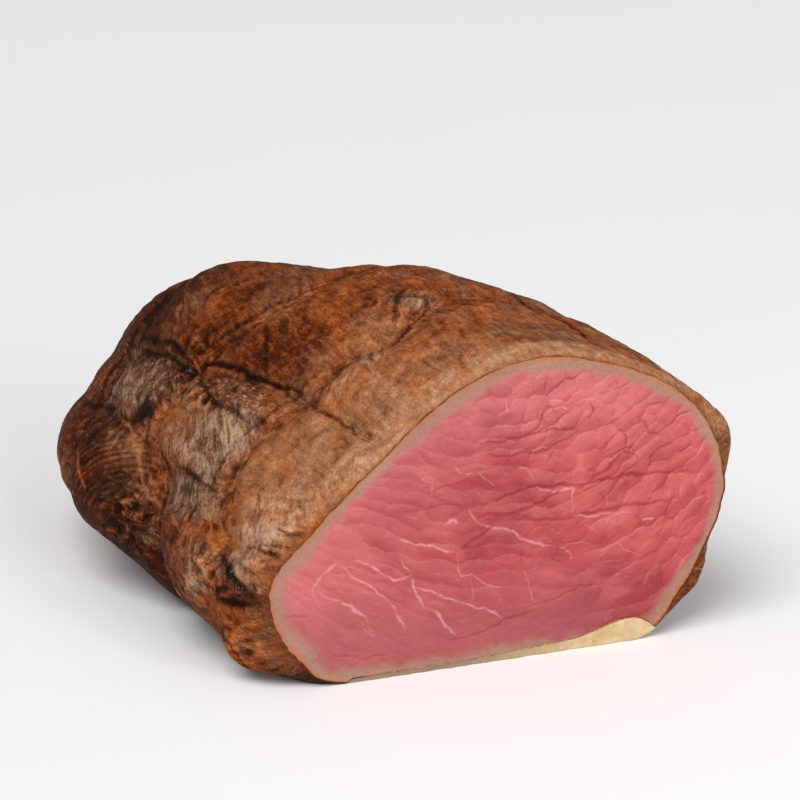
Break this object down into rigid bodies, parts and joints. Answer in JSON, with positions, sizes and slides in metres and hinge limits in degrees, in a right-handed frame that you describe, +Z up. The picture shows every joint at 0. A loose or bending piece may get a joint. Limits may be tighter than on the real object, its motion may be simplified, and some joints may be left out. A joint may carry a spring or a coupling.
{
  "type": "roast beef joint",
  "caption": "Carved roast beef joint resting on its fat side, with a browned, string-marked crust and a pink cut face.",
  "frame": {"origin": "middle of the bounding box's floor, under the joint", "axes": "+Z up, the cut face looks along -Y, the tied end lies towards +Y, and +X is to the right seen from the cut"},
  "size_m": [0.1942, 0.1958, 0.1085],
  "materials": {
    "roast_meat": "browned crust with satin glazed patches outside, moist pink-red cut meat in front",
    "fat": "soft cream roasted fat"
  },
  "bodies": {
    "root": {"roast": "roast_meat", "fat_cap": "fat"}
  },
  "joints": []
}
